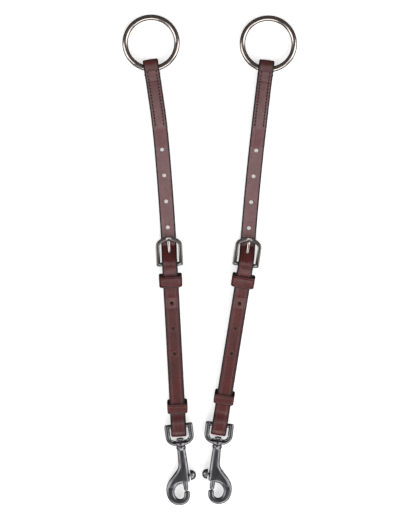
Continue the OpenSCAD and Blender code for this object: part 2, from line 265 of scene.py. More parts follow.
def lathe(profile, steps=48, axis="-Y"):
    """A closed solid turned from (distance along the axis, radius) pairs."""
    rings = []
    for a, r in profile:
        ring = []
        for k in range(steps):
            t = 2 * math.pi * k / steps
            p = (r * math.cos(t), -a, r * math.sin(t))
            ring.append(p if axis == "-Y" else (a, r * math.cos(t), r * math.sin(t)))
        rings.append(ring)
    return tube(rings)


def cut(obj, cutters):
    """Takes the cutters out of obj, and removes them."""
    for cutter in cutters:
        m = obj.modifiers.new("cut", "BOOLEAN")
        m.object = cutter
        m.operation = "DIFFERENCE"
        m.solver = "EXACT"
        m.material_mode = "TRANSFER"
    return baked(obj, cutters)


def baked(obj, spare=()):
    """Applies obj's modifiers, and removes the spare objects."""
    depsgraph = bpy.context.evaluated_depsgraph_get()
    mesh = bpy.data.meshes.new_from_object(obj.evaluated_get(depsgraph))
    obj.modifiers.clear()
    obj.data = mesh
    for o in spare:
        bpy.data.objects.remove(o)
    return obj


def joined(parts):
    """The parts as one object, which is the first of them."""
    with bpy.context.temp_override(
        active_object=parts[0], selected_editable_objects=parts, selected_objects=parts
    ):
        bpy.ops.object.join()
    return parts[0]


def fused(name, parts, voxel, smooth_steps):
    """Joins overlapping parts into one cast shape with blended corners."""
    obj = joined(parts)
    obj.name = name
    remesh = obj.modifiers.new("cast", "REMESH")
    remesh.mode = "VOXEL"
    remesh.voxel_size = voxel * MM
    remesh.use_smooth_shade = True
    soften = obj.modifiers.new("soften", "SMOOTH")
    soften.factor = 0.5
    soften.iterations = smooth_steps
    return baked(obj)


def finish_piece(obj, body, cad_node):
    """Puts a piece on its body, in place of its CAD node."""
    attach(obj, body)
    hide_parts(cad_node)


# ---- Materials ----
PAINTED_SHEEN_Y = (0.012, 0.024)  # in metres, where the painted sheen starts above the buckles
PAINTED_SHEEN_FADE_Y = (0.110, 0.150)  # in metres, where it fades towards the rings


def principled(name):
    """A new material, its node tree and its shader."""
    material = bpy.data.materials.new(name)
    material.use_nodes = True
    tree = material.node_tree
    return material, tree, tree.nodes["Principled BSDF"]


def node(tree, kind, **values):
    """A new node. Each value goes to the input or the setting of that name."""
    made = tree.nodes.new(kind)
    for key, value in values.items():
        if key in made.inputs:
            made.inputs[key].default_value = value
        else:
            setattr(made, key, value)
    return made


def noise(tree, vector, scale, detail=3.0, roughness=0.5):
    """Noise from 0 to 1, with scale in waves a metre."""
    made = node(tree, "ShaderNodeTexNoise", Scale=scale, Detail=detail, Roughness=roughness)
    tree.links.new(vector, made.inputs["Vector"])
    return made.outputs["Fac"]


def ramp(tree, value, stops):
    """A colour ramp through (place, colour) stops."""
    made = node(tree, "ShaderNodeValToRGB")
    elements = made.color_ramp.elements
    while len(elements) < len(stops):
        elements.new(0.5)
    for element, (place, colour) in zip(elements, stops):
        element.position = place
        element.color = (*colour, 1)
    tree.links.new(value, made.inputs["Fac"])
    return made.outputs["Color"]


def spread(tree, value, low, high, to_low=0.0, to_high=1.0):
    """The value, mapped from low..high to to_low..to_high and held there."""
    made = node(tree, "ShaderNodeMapRange")
    tree.links.new(value, made.inputs["Value"])
    for key, number in zip(("From Min", "From Max", "To Min", "To Max"), (low, high, to_low, to_high)):
        made.inputs[key].default_value = number
    return made.outputs["Result"]


def mixed(tree, factor, a, b, blend="MIX"):
    """Two colours mixed. The factor and the colours may be sockets or plain values."""
    made = node(tree, "ShaderNodeMix", data_type="RGBA", blend_type=blend)
    for value, socket in ((factor, made.inputs[0]), (a, made.inputs[6]), (b, made.inputs[7])):
        if isinstance(value, bpy.types.NodeSocket):
            tree.links.new(value, socket)
        else:
            socket.default_value = value if isinstance(value, float) else (*value, 1)
    return made.outputs[2]


def bump(tree, height, strength, distance, normal=None):
    """A bumped normal, distance metres deep, on top of another if one is given."""
    made = node(tree, "ShaderNodeBump", Strength=strength, Distance=distance)
    tree.links.new(height, made.inputs["Height"])
    if normal is not None:
        tree.links.new(normal, made.inputs["Normal"])
    return made.outputs["Normal"]


def leather_material(name, base, dark, light, gloss, grain=1.0, painted_sheen=None):
    """Dyed leather: pebbled grain, cloudy dye, fine wrinkles, and a greyer painted sheen if one is given."""
    material, tree, shader = principled(name)
    coords = node(tree, "ShaderNodeTexCoord").outputs["Object"]
    cloud = noise(tree, coords, 55, 4, 0.6)
    pebble = node(tree, "ShaderNodeTexVoronoi", feature="DISTANCE_TO_EDGE", Scale=1500)
    tree.links.new(coords, pebble.inputs["Vector"])
    fine = noise(tree, coords, 2600, 2, 0.6)
    colour = ramp(tree, cloud, [(0.3, dark), (0.52, base), (0.74, light)])
    if painted_sheen:
        # painted sheen: a greyer, lighter colour on the straps above the buckles, standing in for the light
        # mirrored there
        along = node(tree, "ShaderNodeSeparateXYZ")
        tree.links.new(coords, along.inputs["Vector"])
        above = spread(tree, along.outputs["Y"], *PAINTED_SHEEN_Y)
        fade = spread(tree, along.outputs["Y"], *PAINTED_SHEEN_FADE_Y, 1.0, 0.20)
        patchy = spread(tree, noise(tree, coords, 190, 5, 0.65), 0.3, 0.7, 0.62, 1.0)
        amount = mixed(tree, above, (0.0, 0.0, 0.0), mixed(tree, 1.0, fade, patchy, "MULTIPLY"))
        colour = mixed(tree, amount, colour, painted_sheen)
    pits = spread(tree, pebble.outputs["Distance"], 0.0, 0.12)
    colour = mixed(tree, spread(tree, pits, 0, 1, 0.28, 0.0), colour, dark)
    tree.links.new(colour, shader.inputs["Base Color"])
    tree.links.new(spread(tree, cloud, 0.3, 0.7, gloss + 0.08, gloss - 0.04), shader.inputs["Roughness"])
    normal = bump(tree, pits, 0.22 * grain, 0.00005)
    normal = bump(tree, fine, 0.16 * grain, 0.00006, normal)
    tree.links.new(normal, shader.inputs["Normal"])
    shader.inputs["Specular IOR Level"].default_value = 0.30
    return material


def metal_material(name, base, dark, gloss, wear):
    """Plated metal: fine scratches and smudges, with painted shade in its hollows and a painted highlight on
    its edges.
    """
    material, tree, shader = principled(name)
    coords = node(tree, "ShaderNodeTexCoord").outputs["Object"]
    stretch = node(tree, "ShaderNodeMapping", Scale=(1, 1, 9))
    tree.links.new(coords, stretch.inputs["Vector"])
    scratch = noise(tree, stretch.outputs["Vector"], 900, 5, 0.7)
    smudge = noise(tree, coords, 130, 3, 0.55)
    # painted shade and highlight: darker where the surface is hollow, lighter where it bends out over an edge
    edge_light_mask = spread(tree, node(tree, "ShaderNodeNewGeometry").outputs["Pointiness"], 0.46, 0.53)
    painted_shade_and_highlight = mixed(tree, edge_light_mask, dark, base)
    colour = mixed(tree, spread(tree, smudge, 0.35, 0.7, 0.0, wear), painted_shade_and_highlight, dark)
    tree.links.new(colour, shader.inputs["Base Color"])
    shader.inputs["Metallic"].default_value = 1.0
    tree.links.new(spread(tree, smudge, 0.3, 0.7, gloss - 0.05, gloss + 0.09), shader.inputs["Roughness"])
    tree.links.new(bump(tree, scratch, 0.12, 0.00004), shader.inputs["Normal"])
    return material


def edge_paint_and_hole_shade_material():
    """Black edge paint, rubbed a little. It also gives the painted shade of the needle holes."""
    material, tree, shader = principled("edge_paint_and_hole_shade")
    coords = node(tree, "ShaderNodeTexCoord").outputs["Object"]
    rub = noise(tree, coords, 420, 4, 0.6)
    colour = ramp(tree, rub, [(0.35, (0.006, 0.005, 0.006)), (0.75, (0.018, 0.013, 0.014))])
    tree.links.new(colour, shader.inputs["Base Color"])
    shader.inputs["Roughness"].default_value = 0.48
    shader.inputs["Specular IOR Level"].default_value = 0.15
    tree.links.new(bump(tree, rub, 0.3, 0.0001), shader.inputs["Normal"])
    return material


def thread_material():
    """Waxed thread, with the twist of its plies."""
    material, tree, shader = principled("waxed_thread")
    coords = node(tree, "ShaderNodeTexCoord").outputs["Object"]
    wave = node(tree, "ShaderNodeTexWave", Scale=900, Distortion=1.0, bands_direction="DIAGONAL")
    tree.links.new(coords, wave.inputs["Vector"])
    colour = ramp(tree, wave.outputs["Fac"], [(0.2, (0.050, 0.020, 0.018)), (0.8, (0.120, 0.055, 0.050))])
    tree.links.new(colour, shader.inputs["Base Color"])
    shader.inputs["Roughness"].default_value = 0.55
    tree.links.new(bump(tree, wave.outputs["Fac"], 0.6, 0.00012), shader.inputs["Normal"])
    return material


LEATHER = leather_material(
    "bridle_leather",
    base=(0.060, 0.0125, 0.0120),
    dark=(0.034, 0.0075, 0.0075),
    light=(0.082, 0.0185, 0.0175),
    gloss=0.27,
    # the greyer colour painted on the upper straps as the sheen of the light on them
    painted_sheen=(0.122, 0.060, 0.063),
)
FLESH = leather_material(
    "leather_back",
    base=(0.115, 0.058, 0.045),
    dark=(0.070, 0.034, 0.028),
    light=(0.160, 0.090, 0.070),
    gloss=0.75,
    grain=2.0,
)
EDGE_PAINT_AND_HOLE_SHADE = edge_paint_and_hole_shade_material()
THREAD = thread_material()
BRIGHT = metal_material("nickel_plate", (0.70, 0.65, 0.62), (0.38, 0.33, 0.30), 0.18, 0.35)
SATIN = metal_material("satin_nickel", (0.41, 0.385, 0.375), (0.20, 0.185, 0.18), 0.32, 0.35)
# the snaps' own dark nickel, also put on the buckle's bar as painted shade
DARK = metal_material("dark_nickel", (0.25, 0.25, 0.262), (0.12, 0.115, 0.125), 0.31, 0.45)
STEEL = metal_material("bare_steel", (0.50, 0.49, 0.48), (0.26, 0.25, 0.24), 0.28, 0.4)


# ---- Leather ----
CREASE_X = 3.55  # the pressed line that the stitches lie in
EDGE_X = 5.15  # where the edge paint starts
GRAIN_SIDE, BLACK, FLESH_SIDE = 0, 1, 2  # a leather piece's material slots


def strap_section():
    """The strap's section from the grain side's middle round to the flesh side's middle, mirrored.

    Each point is (across, height, what covers the face that starts there).
    """
    w = STRAP_W / 2
    top = [(0, 0.0), (1.2, -0.01), (2.4, -0.04), (3.0, -0.06), (3.3, -0.12)]
    top += [(CREASE_X, -0.24), (3.8, -0.12), (4.1, -0.06), (4.7, -0.12)]
    half = [(x, HALF_T + dz, GRAIN_SIDE) for x, dz in top]
    half.append((EDGE_X, HALF_T - 0.2, BLACK))
    r_top, r_low = w - EDGE_X, 0.85
    for k in range(1, 6):
        t = 90 - 90 * k / 5
        half.append((EDGE_X + r_top * cos(t), HALF_T - 0.2 - r_top * (1 - sin(t)) * 0.8, BLACK))
    for k in range(1, 5):
        t = -90 * k / 4
        cover = BLACK if k < 3 else FLESH_SIDE
        half.append((w - r_low + r_low * cos(t), -HALF_T + r_low + r_low * sin(t), cover))
    half += [(x, -HALF_T, FLESH_SIDE) for x in (3.9, 2.0)]
    right = half + [(0, -HALF_T, FLESH_SIDE)]
    # the left half is the right one mirrored: its faces take the cover of the point they end at
    left = [(-x, z, right[i - 1][2]) for i, (x, z, _) in reversed(list(enumerate(right)))][1:-1]
    return right + left


def strap_mesh(side):
    """One strap, swept through its folds."""
    line = stepped(rounded_line(SIDE_CORNERS), 1.4)
    section = strap_section()
    rings = []
    for p, n in line:
        ring = []
        for x, height, _ in section:
            s, z = p + n * height
            px, py, h = plan(side, s)
            ring.append((px + x * cos(h), py + x * sin(h), z))
        rings.append(ring)
    verts, faces = tube(rings)
    obj = new_mesh(side + "_strap_leather", verts, faces)
    for material in (LEATHER, EDGE_PAINT_AND_HOLE_SHADE, FLESH):
        obj.data.materials.append(material)
    covers = [c for _, _, c in section]
    width = len(section)
    for i, polygon in enumerate(obj.data.polygons):
        polygon.material_index = covers[i % width] if i < width * (len(rings) - 1) else BLACK
    return obj


def front(side, s, lift=0.0):
    """A matrix on the front layer's middle plane, or lift above it, tilted with its slope."""
    line = rounded_line(SIDE_CORNERS)
    # the front layer runs from the ring's fold to the eye's
    first = min(range(len(line)), key=lambda i: line[i][0][0])
    last = max(range(len(line)), key=lambda i: line[i][0][0])
    for (p, _), (q, _) in zip(line[first:last], line[first + 1:last + 1]):
        if p[0] <= s < q[0]:
            slope = math.atan2(q[1] - p[1], q[0] - p[0])
            z = p[1] + (q[1] - p[1]) * (s - p[0]) / (q[0] - p[0])
            return on_strap(side, s, z) @ Matrix.Rotation(-slope, 4, "X") @ Matrix.Translation((0, 0, lift))


def punch(side, s):
    """A punch for one hole through the front layer, flared at the grain side."""
    r = HOLE_D / 2
    profile = [(-HALF_T - 0.05, r), (HALF_T - 0.45, r), (HALF_T - 0.12, r + 0.12), (HALF_T + 0.05, r + 0.45)]
    verts, faces = lathe(profile, 40)
    lay = Matrix.Rotation(math.radians(-90), 4, "X")
    obj = new_mesh("punch", verts, faces, front(side, s) @ lay)
    obj.data.materials.append(FLESH)
    return obj


def tongue_gap(side):
    """The stretched hole that the tongue comes up through, with room for the tongue to lift."""
    gap_from, gap_to, spare = 5.4, 15.5, 1.15
    rings = []
    for y in (gap_from, gap_to):
        low = y * math.tan(math.radians(TONGUE_ANGLE)) - spare
        high = y * math.tan(math.radians(TONGUE_ANGLE + TONGUE_LIFT)) + spare
        middle, tall, wide = (low + high) / 2, (high - low) / 2, (TONGUE_W + 0.9) / 2
        ring = []
        for k in range(32):
            t = 360 * k / 32
            x = wide * math.copysign(abs(cos(t)) ** 0.7, cos(t))
            ring.append((x, y, middle + tall * math.copysign(abs(sin(t)) ** 0.7, sin(t))))
        rings.append(ring[::-1])
    verts, faces = tube(rings)
    obj = new_mesh("tongue_gap", verts, faces, on_strap(side, S_BAR, BAR_Z))
    obj.data.materials.append(FLESH)
    return obj


def crew_slot(side):
    """The slot in the fold at the buckle's bar, where the tongue comes out."""
    wide = (TONGUE_W + 0.9) / 2
    r = BAR_FOLD_R + HALF_T + 0.04
    verts, faces = lathe([(-wide, r), (wide, r)], 48, "X")
    obj = new_mesh("crew_slot", verts, faces, on_strap(side, S_BAR, BAR_Z))
    obj.data.materials.append(FLESH)
    return obj


def make_strap(side):
    """The strap with its holes. The tongue's hole takes the first lower hole's place."""
    obj = strap_mesh(side)
    cutters = [punch(side, s) for s in HOLES + LOWER_HOLES[1:]]
    cutters += [tongue_gap(side), crew_slot(side)]
    cut(obj, cutters)
    obj.data.set_sharp_from_angle(angle=math.radians(38))
    finish_piece(obj, side + "_leather", side + "_strap")


# ---- Stitching ----
STITCH_PITCH = 2.75
RING_STITCHES = 15
RING_STITCH_S = 9.4
SLOPE_STITCHES = 2  # further stitches, where the front layer comes down from the ring
BUCKLE_STITCHES = 6
BUCKLE_STITCH_S = S_BAR + 8
ROW_X = CREASE_X
BACK_STITCH_Z = 0.38  # the height of the stitches on the strap's back, above the floor


def stitch(matrix, length=1.7, wide=0.42, high=0.26):
    """One stitch: a short, fat, slightly arched thread. wide and high are half sizes."""
    rings = []
    for k in range(9):
        t = -1 + 2 * k / 8
        swell = math.sqrt(max(0.0, 1 - abs(t) ** 3.2)) + 0.02
        ring = []
        for q in range(10):
            a = 36 * q
            ring.append((wide * swell * cos(a), t * length / 2, high * swell * sin(a) - 0.16 * t * t))
        rings.append(ring[::-1])
    verts, faces = tube(rings)
    return [matrix @ Vector(v) for v in verts], faces


def back_row_parts(side, first, count):
    """Two rows of stitches in the grooves on the strap's back."""
    parts = []
    turn = Matrix.Rotation(math.radians(7), 4, "Z") @ Matrix.Rotation(math.pi, 4, "Y")
    for i in range(count):
        for x in (-ROW_X, ROW_X):
            place = on_strap(side, first + i * STITCH_PITCH, BACK_STITCH_Z) @ Matrix.Translation((x, 0, 0))
            parts.append(stitch(place @ turn))
    return parts


def front_row_parts(side, shift, lift, turn, **size):
    """Two rows along the front of the ring's fold, of stitches or of the black marks between them that are
    painted shade in the needle holes.
    """
    parts = []
    for i in range(SLOPE_STITCHES + RING_STITCHES):
        s = RING_STITCH_S + (i - SLOPE_STITCHES + shift) * STITCH_PITCH
        for x in (-ROW_X, ROW_X):
            place = front(side, s, HALF_T + lift) @ Matrix.Translation((x, 0, 0))
            parts.append(stitch(place @ Matrix.Rotation(math.radians(turn), 4, "Z"), **size))
    return parts


def edge_knot_parts(side):
    """The back-stitch that goes over both edges where the ring's stitching starts."""
    s = RING_STITCH_S - 1.5 * STITCH_PITCH
    out = 0.985 * STRAP_W / 2
    turn = Matrix.Rotation(math.radians(90), 4, "X")
    parts = []
    for x in (-out, out):
        place = front(side, s, -0.9) @ Matrix.Translation((x, 0, 0))
        parts.append(stitch(place @ turn, length=2.9, wide=0.40, high=0.42))
    return parts


def merged(name, parts, material):
    """One object from several (points, faces) parts."""
    verts, faces = [], []
    for v, f in parts:
        faces += [tuple(i + len(verts) for i in face) for face in f]
        verts += list(v)
    obj = new_mesh(name, verts, faces)
    obj.data.materials.append(material)
    return obj


def make_stitching(side):
    """The thread at the ring and at the buckle's bar, with black marks on the front painted as the shade in
    the needle holes.
    """
    body = side + "_leather"
    # painted shade: black marks in the edge paint's material, laid on the front between the stitches, stand
    # in for the dark needle holes
    parts = front_row_parts(side, -0.5, -0.10, 24, length=1.5, wide=0.74, high=0.20)
    holes = merged(side + "_needle_hole_shade", parts, EDGE_PAINT_AND_HOLE_SHADE)
    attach(holes, body)
    parts = front_row_parts(side, 0, -0.06, 7) + back_row_parts(side, RING_STITCH_S, RING_STITCHES)
    finish_piece(merged(side + "_ring_thread", parts, THREAD), body, side + "_ring_stitching")
    knots = merged(side + "_edge_thread", edge_knot_parts(side), THREAD)
    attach(knots, body)
    parts = back_row_parts(side, BUCKLE_STITCH_S, BUCKLE_STITCHES)
    finish_piece(merged(side + "_buckle_thread", parts, THREAD), body, side + "_buckle_stitching")


# ---- Keepers ----
FIXED_KEEPER_S = S_BAR + 14.9
SLIDING_KEEPER_S = {"left": S_EYE - 14.4, "right": S_EYE - 21.2}


def keeper(side, name, s, half_in, low, high, length, lean, corner, flare):
    """A keeper: a band of creased leather round the strap.

    It leans lean millimetres up the strap at the back, and its front corners are flare in from its sides.
    """
    mid = KEEPER_T / 2
    wide = half_in + mid + 0.2
    box = [(wide, low - mid, corner), (wide - 0.1, high + mid - flare, 0.8), (wide - flare, high + mid, 0.8)]
    box += [(-x, z, r) for x, z, r in reversed(box)]
    line = rounded_line([(0, low - mid, 0), *box, (0, low - mid, 0)], 9)
    line = stepped(line, 0.9)[:-1]
    half = length / 2
    # the band's section: (place along the strap, height above its middle, cover)
    outer = [
        (-half + 0.5, mid - 0.05, GRAIN_SIDE),
        (-half + 1.3, mid, GRAIN_SIDE),
        (-half + 1.6, mid - 0.32, GRAIN_SIDE),
        (-half + 1.9, mid, GRAIN_SIDE),
        (-half / 2, mid + 0.03, GRAIN_SIDE),
        (0, mid + 0.04, GRAIN_SIDE),
    ]
    outer += [(-y, z, GRAIN_SIDE) for y, z, _ in reversed(outer[:-1])]
    inner = [
        (half, mid - 0.45, BLACK),
        (half, -mid + 0.35, BLACK),
        (half - 0.3, -mid, FLESH_SIDE),
        (-half + 0.3, -mid, BLACK),
        (-half, -mid + 0.35, BLACK),
        (-half, mid - 0.45, BLACK),
    ]
    section = outer + inner
    rings = []
    span = high - low + KEEPER_T
    for p, n in line:
        ring = []
        # normals point left of an anticlockwise outline, so the outside is the other way
        back = 1 - (p[1] - low + mid) / span
        for y, height, _ in section:
            q = p - n * height
            ring.append((q[0], y + lean * back, q[1]))
        rings.append(ring)
    verts, faces = tube(rings, closed=True)
    obj = new_mesh(name, verts, faces, on_strap(side, s), sharp=50)
    for material in (LEATHER, EDGE_PAINT_AND_HOLE_SHADE, FLESH):
        obj.data.materials.append(material)
    covers = [c for _, _, c in section]
    covers[len(outer) - 1] = BLACK
    for i, polygon in enumerate(obj.data.polygons):
        polygon.material_index = covers[i % len(section)]
    return obj


def make_keepers(side):
    """The keeper held in below the buckle, and the loose one near the snap, which slides."""
    fixed = keeper(
        side,
        side + "_fixed_keeper_band",
        s=FIXED_KEEPER_S,
        half_in=STRAP_W / 2 + 1.6,
        low=Z_TAIL - HALF_T - KEEPER_GAP,
        high=Z_OVER_TAIL + HALF_T + KEEPER_GAP,
        length=9.5,
        lean=2.7,
        corner=1.2,
        flare=2.0,
    )
    finish_piece(fixed, side + "_leather", side + "_fixed_keeper")
    sliding = keeper(
        side,
        side + "_sliding_keeper_band",
        s=SLIDING_KEEPER_S[side],
        half_in=STRAP_W / 2 + 0.4,
        low=KEEPER_T + 0.08,
        high=Z_LIFT + PLY + HALF_T + KEEPER_GAP,
        length=8.1,
        lean=3.8,
        corner=1.2,
        flare=0.9,
    )
    finish_piece(sliding, side + "_keeper", side + "_sliding_keeper")


# ---- Metal ----
def superellipse(half_w, half_h, power, count):
    """Points round a rounded-box section, anticlockwise from its right."""
    out = []
    for k in range(count):
        t = 2 * math.pi * k / count
        c, s = math.cos(t), math.sin(t)
        x = half_w * math.copysign(abs(c) ** (2 / power), c)
        out.append((x, half_h * math.copysign(abs(s) ** (2 / power), s)))
    return out


def bar_along_x(half, r, sides, stations):
    """A straight round bar along X, as vertices and faces."""
    section = [(r * cos(q), r * sin(q)) for q in np.arange(sides) * 360 / sides]
    return tube([[(x, y, z) for y, z in section] for x in np.linspace(-half, half, stations)])


def flat_sweep(line, sizes, power, count):
    """A bar swept along a line in the XY plane. sizes gives each point's (half width, half thickness)."""
    rings = []
    for i, (p, (w, h)) in enumerate(zip(line, sizes)):
        before, after = line[max(i - 1, 0)], line[min(i + 1, len(line) - 1)]
        d = np.array(after, float) - np.array(before, float)
        d /= np.linalg.norm(d)
        across = np.array((d[1], -d[0]))
        section = superellipse(w, h, power, count)
        rings.append([(p[0] + across[0] * u, p[1] + across[1] * u, v) for u, v in section])
    return tube(rings)


def make_ring(side):
    """The welded ring, leaning from its fold down to the floor."""
    slope = math.degrees(math.asin((RING_Z - RING_WIRE / 2) / (2 * RING_R)))
    steps, sides = 160, 28
    weld_at, weld_half, weld_swell = 232, 3.2, 0.045
    rings = []
    for i in range(steps):
        t = 360 * i / steps
        # the weld, a slight swelling where the wire's ends meet
        swell = 1 + weld_swell * math.exp(-(((t - weld_at) / weld_half) ** 2))
        r = RING_WIRE / 2 * swell
        ring = []
        for q in np.arange(sides) * 360 / sides:
            out = RING_R + r * cos(q)
            ring.append((out * cos(t), out * sin(t), r * sin(q)))
        rings.append(ring)
    verts, faces = tube([ring[::-1] for ring in rings], closed=True)
    x, y = PLAN[side][0]
    place = Matrix.Translation((x, y, RING_Z)) @ Matrix.Rotation(math.radians(RING_HEADING[side]), 4, "Z")
    place = place @ Matrix.Rotation(math.radians(-slope), 4, "X") @ Matrix.Translation((0, RING_R, 0))
    obj = new_mesh(side + "_rein_ring_wire", verts, [f[::-1] for f in faces], place)
    obj.data.materials.append(BRIGHT)
    finish_piece(obj, side + "_rein_ring", side + "_ring")


def frame_line():
    """The buckle frame's middle line, from one end of the bar round the arch to the other."""
    half = FRAME_W / 2 - FRAME_T / 2
    r = ARCH_R - FRAME_T / 2
    centre_y = FRAME_LEN - FRAME_T / 2 - ARCH_R
    reach = math.degrees(math.acos(half / r))
    top = centre_y + r * sin(reach)
    near = reach + 8
    end = np.array((r * cos(near), centre_y + r * sin(near)))
    start, corner = np.array((half, top - 1.9)), np.array((half, top))
    right = [(half, y) for y in np.linspace(-FRAME_T / 2 + 0.15, top - 1.9, 14)]
    for t in (0.25, 0.5, 0.75):
        right.append(tuple((1 - t) ** 2 * start + 2 * t * (1 - t) * corner + t * t * end))
    arch = [(r * cos(t), centre_y + r * sin(t)) for t in np.linspace(near, 180 - near, 45)]
    return right + arch + [(-x, y) for x, y in reversed(right)]


def make_buckle_frame(side):
    """The frame, with its sides' ends rounded, and the bar that joins them, darker as painted shade."""
    line = frame_line()
    sizes = []
    for x, y in line:
        end = min(1.0, (y + FRAME_T / 2 + 0.2) / 1.5) if y < 1 else 1.0
        round_end = math.sqrt(1 - (1 - end) ** 2) if end < 1 else 1.0
        sizes.append((FRAME_T / 2 * max(0.25, round_end), (FRAME_T - 0.3) / 2 * max(0.35, round_end)))
    verts, faces = flat_sweep(line, sizes, 3.6, 32)
    # the dip in the arch's inner half, where the tongue's tip lies
    arch_y, dip_end, dip_edge, dip_half, dip_share = 15, 22.2, 1.2, 1.7, 0.62
    dipped = []
    for x, y, z in verts:
        inner = min(1.0, max(0.0, (dip_end - y) / dip_edge)) if y > arch_y and z > 0 else 0
        dip = dip_share * math.exp(-((x / dip_half) ** 4)) * inner
        dipped.append((x, y, z * (1 - dip)))
    half = FRAME_W / 2 - FRAME_T / 2
    place = on_strap(side, S_BAR, BAR_Z)
    obj = new_mesh(side + "_buckle_frame_metal", dipped, faces, place, sharp=60)
    obj.data.materials.append(SATIN)
    rod = new_mesh("bar", *bar_along_x(half, FRAME_T / 2, 24, 9), place)
    # painted shade: the bar takes the snaps' darker nickel so that it looks shaded under the strap
    rod.data.materials.append(DARK)
    finish_piece(joined([obj, rod]), side + "_buckle", side + "_buckle_frame")


def make_tongue(side):
    """The tongue: a flat end curled round the bar, then a tapered blade with a blunt, swollen tip."""
    hub, reach = FRAME_T / 2 + 0.72, 20.3
    curl, curl_end = 30, 78
    points = [(hub * cos(t), hub * sin(t)) for t in np.linspace(-200, curl_end, curl)]
    for y in np.linspace(hub * cos(curl_end) + 1.2, reach, 26):
        points.append((y, hub * sin(curl_end) * max(0.0, 1 - y / 5.5) ** 2))
    rings = []
    last = len(points) - 1
    for i, p in enumerate(points):
        a, b = np.array(points[max(i - 1, 0)], float), np.array(points[min(i + 1, last)], float)
        d = (b - a) / np.linalg.norm(b - a)
        up = np.array((-d[1], d[0]))
        along = max(0.0, p[0] / reach)
        w = 1.25 if i < curl else 0.85 + 0.45 * along ** 4
        h = 0.62 if i < curl else 0.70 + 0.28 * along ** 3
        if i > last - 5:
            left = (last - i) / 5
            shrink = math.sqrt(1 - (1 - left) ** 2) * 0.92 + 0.08
            w, h = w * shrink, h * shrink
        section = superellipse(w, h, 2.6, 20)[::-1]
        rings.append([(u, p[0] + up[0] * v, p[1] + up[1] * v) for u, v in section])
    verts, faces = tube(rings)
    place = on_strap(side, S_BAR, BAR_Z) @ Matrix.Rotation(math.radians(TONGUE_ANGLE), 4, "X")
    obj = new_mesh(side + "_tongue_metal", verts, faces, place, sharp=60)
    obj.data.materials.append(BRIGHT)
    finish_piece(obj, side + "_tongue", side + "_buckle_tongue")


# ---- Snap: places are (x, -a) with a the distance along the snap from the eye's bar ----
EYE_HALF = 9.75
EYE_T = 5.0
SHANK_R = 1.6
BORE_FROM = 23.5
BORE_R = 2.14
BODY_END = 47.0
BOLT_FROM = 37.0
BOLT_TIP = 54.3
BOLT_TRAVEL = 7.5
KNOB_A = 41.7
KNOB_STEM_R = 1.2
SPRING_WIRE_R = 0.3
VOXEL = 0.26


def scoop(x, z, place):
    """A hollow beside the rivet, in the eye's base."""
    profile = [(2.3 * cos(t), 3.1 * sin(t)) for t in range(0, 181, 12)]
    profile[0], profile[-1] = (2.3, 0.05), (-2.3, 0.05)
    middle = Matrix.Translation((x, -12.0, z)) @ Matrix.Diagonal((1.15, 1, 0.8, 1))
    return new_mesh("scoop", *lathe(profile[::-1], 40), place @ middle)


def make_eye(side):
    """The snap's eye: a horseshoe of round-edged bar, closed by the bar that the strap turns round."""
    place = on_snap(side)
    corners = [(-EYE_HALF, 1.7, 0), (-EYE_HALF, -14.0, 5.8)]
    corners += [(-x, y, r) for x, y, r in reversed(corners)]
    line = [tuple(p) for p, _ in stepped(rounded_line(corners, 6), 0.8)]
    sizes = []
    for i, (x, y) in enumerate(line):
        end = min(i, len(line) - 1 - i)
        tip = 0.80 + 0.20 * min(1.0, end / 2.0)
        wide = 2.05 + 0.55 * math.exp(-((x / 3.6) ** 2)) if y < -8 else 2.05
        sizes.append((wide * tip, EYE_T / 2 * tip))
    loop = new_mesh("loop", *flat_sweep(line, sizes, 2.6, 24), place)
    bar = new_mesh("bar", *bar_along_x(EYE_HALF, EYE_BAR_D / 2, 20, 2), place)
    boss = new_mesh("boss", *lathe([(13.5, 3.0), (14.4, 3.9), (16.3, 3.95), (16.65, 3.6)], 32), place)
    obj = fused(side + "_swivel_eye_casting", [loop, bar, boss], VOXEL, 3)
    bore_r = SHANK_R + 0.15
    bore = new_mesh("bore", *lathe([(10, bore_r), (18, bore_r)], 32), place)
    cut(obj, [bore, *[scoop(x, z, place) for x in (-4.4, 4.4) for z in (-3.0, 3.0)]])
    obj.data.set_sharp_from_angle(angle=math.radians(50))
    obj.data.materials.clear()
    obj.data.materials.append(DARK)
    finish_piece(obj, side + "_eye", side + "_swivel_eye")


def make_rivet(side):
    """The swivel's rivet: a shank, and a low dome of a head with six lobes."""
    rings = []
    profile = [(9.75, 0.3), (9.85, 1.4), (10.15, 2.2), (10.6, 2.7), (11.0, 2.85), (11.3, 2.7)]
    profile += [(11.35, SHANK_R), (22.4, SHANK_R)]
    for a, r in profile:
        lobes = 0.085 if 9.8 < a < 11.2 else 0
        ring = []
        for k in range(48):
            t = 360 * k / 48
            lobe = r * (1 + lobes * cos(6 * t))
            ring.append((lobe * cos(t), -a, lobe * sin(t)))
        rings.append(ring)
    obj = new_mesh(side + "_swivel_rivet_metal", *tube(rings), on_snap(side), sharp=45)
    obj.data.materials.append(STEEL)
    finish_piece(obj, side + "_hook", side + "_swivel_rivet")


# the hook's middle line, root to tip: (a, x, half width, half thickness)
HOOK = [
    (32.0, 0.0, 3.10, 2.70),
    (36.5, -0.9, 3.80, 2.80),
    (40.2, -3.3, 4.55, 2.85),
    (43.6, -6.7, 4.45, 2.90),
    (46.8, -10.3, 3.95, 2.95),
    (50.2, -12.5, 3.60, 2.98),
    (54.4, -13.25, 3.28, 2.95),
    (58.6, -12.35, 3.15, 2.90),
    (61.6, -9.9, 2.85, 2.85),
    (63.0, -6.3, 2.62, 2.80),
    (62.4, -2.9, 2.50, 2.75),
    (60.2, -0.55, 2.45, 2.70),
    (57.6, 0.28, 2.42, 2.62),
    (55.7, 0.38, 2.32, 2.45),
    (54.65, 0.40, 1.75, 1.95),
]

